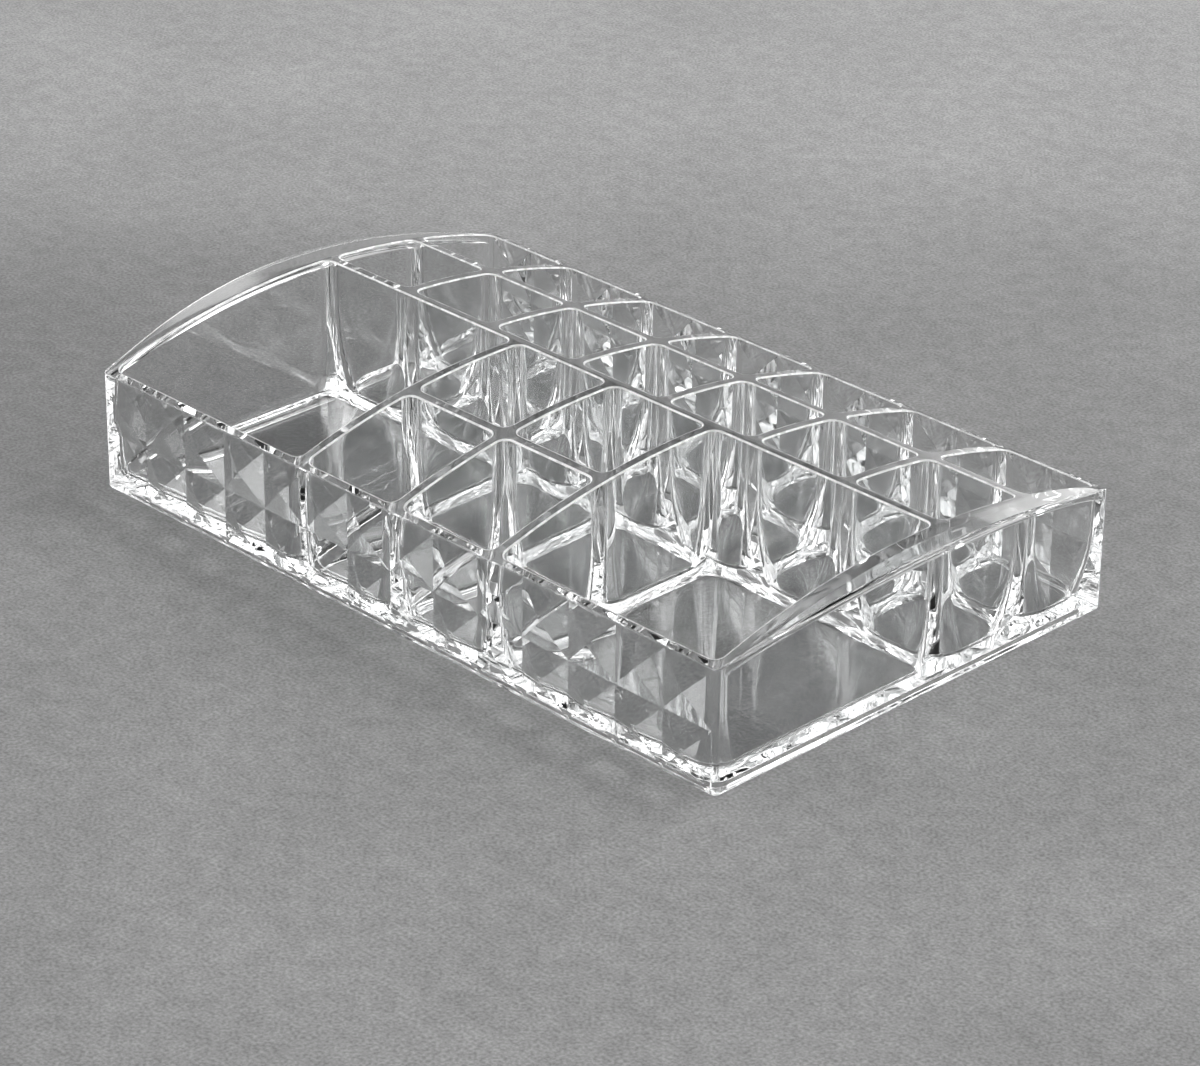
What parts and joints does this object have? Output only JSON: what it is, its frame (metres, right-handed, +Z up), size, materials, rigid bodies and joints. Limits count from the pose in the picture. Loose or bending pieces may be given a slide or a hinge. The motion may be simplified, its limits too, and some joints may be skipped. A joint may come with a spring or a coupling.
{
  "type": "vanity organizer tray",
  "caption": "Clear plastic vanity tray with faceted long walls, arched ends with handle lips and a lattice of dividers.",
  "frame": {"origin": "middle of the footprint, on the surface that the rim stands on", "axes": "+X to the right along the tray, +Y from the front wall to the back wall, +Z up"},
  "size_m": [0.3614, 0.216, 0.0665],
  "materials": {
    "clear_plastic": "polished crystal-clear styrene plastic",
    "facet_plastic": "polished crystal-clear styrene plastic with cut facets",
    "floor_plastic": "polished crystal-clear styrene plastic, lightly handled"
  },
  "bodies": {
    "root": {"floor_panel": "floor_plastic", "front_facet_wall": "facet_plastic", "back_facet_wall": "facet_plastic", "left_end_wall": "clear_plastic", "right_end_wall": "clear_plastic", "left_handle_lip": "clear_plastic", "right_handle_lip": "clear_plastic", "rear_long_divider": "clear_plastic", "middle_long_divider": "clear_plastic", "front_short_divider": "clear_plastic", "rear_cross_divider_1": "clear_plastic", "rear_cross_divider_2": "clear_plastic", "rear_cross_divider_3": "clear_plastic", "rear_cross_divider_4": "clear_plastic", "rear_cross_divider_5": "clear_plastic", "rear_cross_divider_6": "clear_plastic", "front_cross_divider_1": "clear_plastic", "front_cross_divider_2": "clear_plastic", "front_cross_divider_3": "clear_plastic"}
  },
  "joints": []
}
